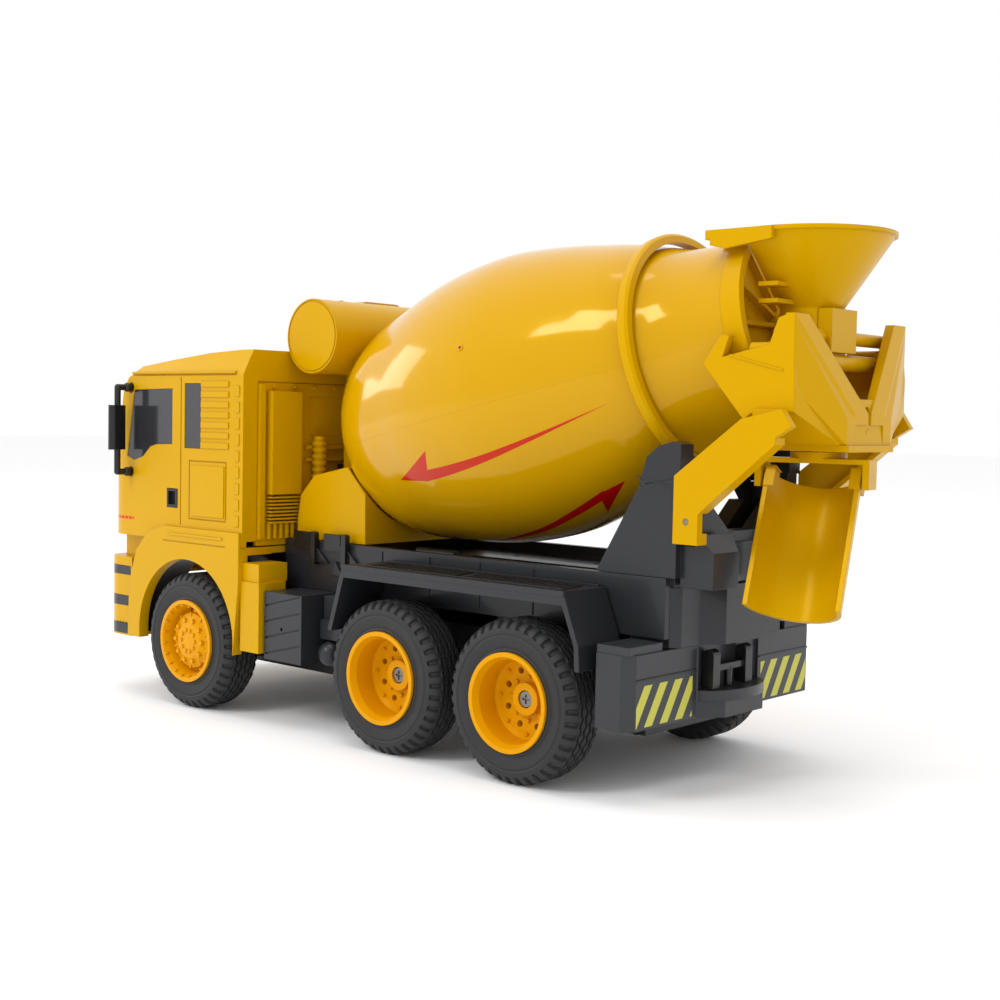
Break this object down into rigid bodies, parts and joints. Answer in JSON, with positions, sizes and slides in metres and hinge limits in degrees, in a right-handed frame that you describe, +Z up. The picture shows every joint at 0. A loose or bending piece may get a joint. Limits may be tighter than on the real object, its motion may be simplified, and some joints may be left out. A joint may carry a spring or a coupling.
{
  "type": "toy cement mixer truck",
  "caption": "Six-wheeled toy concrete mixer truck with a tilted turning drum, hopper, swinging discharge chute and front steering.",
  "frame": {"origin": "centre of the bounding box in plan, on the ground", "axes": "+X to the cab's nose, +Y to the truck's left, +Z up"},
  "size_m": [0.3796, 0.1562, 0.2079],
  "materials": {
    "yellow_body": "glossy golden yellow body plastic",
    "yellow_drum": "high-gloss yellow drum plastic with printed red arrows",
    "yellow_rim": "satin yellow wheel plastic",
    "dark_frame": "dark grey satin chassis plastic",
    "mid_grey": "mid grey satin plastic",
    "black_trim": "black trim plastic",
    "smoked_window": "opaque smoked window plastic",
    "tyre_rubber": "dark grey moulded tyre",
    "axle_steel": "plated steel",
    "white_gear": "natural nylon",
    "lamp_lens": "clear-painted lamp lens",
    "green_parts": "green battery wrap and circuit board"
  },
  "bodies": {
    "truck": {"drum_support": "yellow_body", "cab_shell": "yellow_body", "cab_rear_wall": "yellow_body", "cab_lower": "yellow_body", "front_bumper": "yellow_body", "roof_intake": "yellow_body", "water_tank": "yellow_body", "support_arms": "yellow_body", "collector": "yellow_body", "cross_tubes": "yellow_body", "hopper": "yellow_body", "chassis_tray": "dark_frame", "frame_rails": "dark_frame", "rear_fender_left": "dark_frame", "rear_fender_right": "dark_frame", "drum_pedestal": "dark_frame", "rear_crossmember": "dark_frame", "rear_bumper": "dark_frame", "step_treads": "dark_frame", "grille_bars": "dark_frame", "drum_gearbox": "dark_frame", "drive_gearbox": "dark_frame", "battery_cover": "dark_frame", "steering_servo": "dark_frame", "side_boxes": "mid_grey", "air_tanks": "mid_grey", "tow_hitch": "black_trim", "side_posts": "black_trim", "door_handles": "black_trim", "cab_windows": "smoked_window", "chassis_screws": "axle_steel", "headlamps": "lamp_lens", "battery_pack": "green_parts", "control_board": "green_parts"},
    "drum": {"drum_shell_upper": "yellow_drum", "drum_shell_lower": "yellow_drum", "drum_ring": "yellow_drum", "drum_collar": "yellow_drum", "drum_gear": "white_gear"},
    "drum_motor_pinion": {"drum_pinion": "white_gear"},
    "roller_left": {"roller_left": "black_trim"},
    "roller_right": {"roller_right": "black_trim"},
    "mid_wheelset": {"mid_axle_shaft": "axle_steel", "mid_wheel_rims": "yellow_rim", "mid_wheel_tyres": "tyre_rubber"},
    "rear_wheelset": {"rear_axle_shaft": "axle_steel", "rear_wheel_rims": "yellow_rim", "rear_wheel_tyres": "tyre_rubber"},
    "knuckle_left": {"knuckle_left": "dark_frame"},
    "knuckle_right": {"knuckle_right": "dark_frame"},
    "front_wheel_left": {"front_rim_left": "yellow_rim", "front_tyre_left": "tyre_rubber"},
    "front_wheel_right": {"front_rim_right": "yellow_rim", "front_tyre_right": "tyre_rubber"},
    "tie_rod": {"tie_rod": "dark_frame"},
    "chute_swivel": {"chute_bracket": "yellow_body"},
    "chute": {"chute": "yellow_body"},
    "mirror_left": {"mirror_left": "black_trim"},
    "mirror_right": {"mirror_right": "black_trim"},
    "power_switch": {"power_switch": "black_trim"}
  },
  "joints": [
    {"name": "drum_spin", "type": "hinge", "parent": "truck", "child": "drum", "pos_m": [0.06185, 0, 0.1233], "axis": [-0.9753, 0, 0.221], "continuous": true},
    {"name": "drum_pinion_spin", "type": "hinge", "parent": "truck", "child": "drum_motor_pinion", "pos_m": [0.05895, 0, 0.11051], "axis": [-0.9753, 0, 0.221], "continuous": true},
    {"name": "roller_left_spin", "type": "hinge", "parent": "truck", "child": "roller_left", "pos_m": [-0.1208, 0.02567, 0.1191], "axis": [-0.9753, 0, 0.221], "continuous": true},
    {"name": "roller_right_spin", "type": "hinge", "parent": "truck", "child": "roller_right", "pos_m": [-0.1208, -0.02567, 0.1191], "axis": [-0.9753, 0, 0.221], "continuous": true},
    {"name": "mid_wheels_spin", "type": "hinge", "parent": "truck", "child": "mid_wheelset", "pos_m": [-0.00875, 0, 0.031], "axis": [0, 1, 0], "continuous": true},
    {"name": "rear_wheels_spin", "type": "hinge", "parent": "truck", "child": "rear_wheelset", "pos_m": [-0.07675, 0, 0.031], "axis": [0, 1, 0], "continuous": true},
    {"name": "steer_left", "type": "hinge", "parent": "truck", "child": "knuckle_left", "pos_m": [0.11975, 0.042, 0.031], "axis": [0, 0, 1], "range_deg": [-18, 18]},
    {"name": "steer_right", "type": "hinge", "parent": "truck", "child": "knuckle_right", "pos_m": [0.11975, -0.042, 0.031], "axis": [0, 0, 1], "range_deg": [-18, 18]},
    {"name": "front_wheel_left_spin", "type": "hinge", "parent": "knuckle_left", "child": "front_wheel_left", "pos_m": [0.11975, 0.0565, 0.031], "axis": [0, 1, 0], "continuous": true},
    {"name": "front_wheel_right_spin", "type": "hinge", "parent": "knuckle_right", "child": "front_wheel_right", "pos_m": [0.11975, -0.0565, 0.031], "axis": [0, 1, 0], "continuous": true},
    {"name": "tie_rod_slide", "type": "slide", "parent": "truck", "child": "tie_rod", "axis": [0, 1, 0], "range_m": [-0.0045, 0.0045]},
    {"name": "chute_swing", "type": "hinge", "parent": "truck", "child": "chute_swivel", "pos_m": [-0.16525, 0, 0.124], "axis": [0, 0, 1], "range_deg": [-10, 166]},
    {"name": "chute_tilt", "type": "hinge", "parent": "chute_swivel", "child": "chute", "pos_m": [-0.16608, 0.00391, 0.117], "axis": [-0.9781, -0.2079, 0], "range_deg": [-14, 10]},
    {"name": "mirror_left_fold", "type": "hinge", "parent": "truck", "child": "mirror_left", "pos_m": [0.16625, 0.066, 0.127], "axis": [0, 0, 1], "range_deg": [-20, 20]},
    {"name": "mirror_right_fold", "type": "hinge", "parent": "truck", "child": "mirror_right", "pos_m": [0.16625, -0.066, 0.127], "axis": [0, 0, 1], "range_deg": [-20, 20]},
    {"name": "power_switch_slide", "type": "slide", "parent": "truck", "child": "power_switch", "axis": [1, 0, 0], "range_m": [0, 0.003]}
  ],
  "couplings": [
    {"joint": "drum_pinion_spin", "follows": "drum_spin", "ratio": -3},
    {"joint": "roller_left_spin", "follows": "drum_spin", "ratio": -9.24},
    {"joint": "roller_right_spin", "follows": "drum_spin", "ratio": -9.24},
    {"joint": "steer_right", "follows": "steer_left", "ratio": 1},
    {"joint": "tie_rod_slide", "follows": "steer_left", "m_per_rad": -0.014}
  ]
}
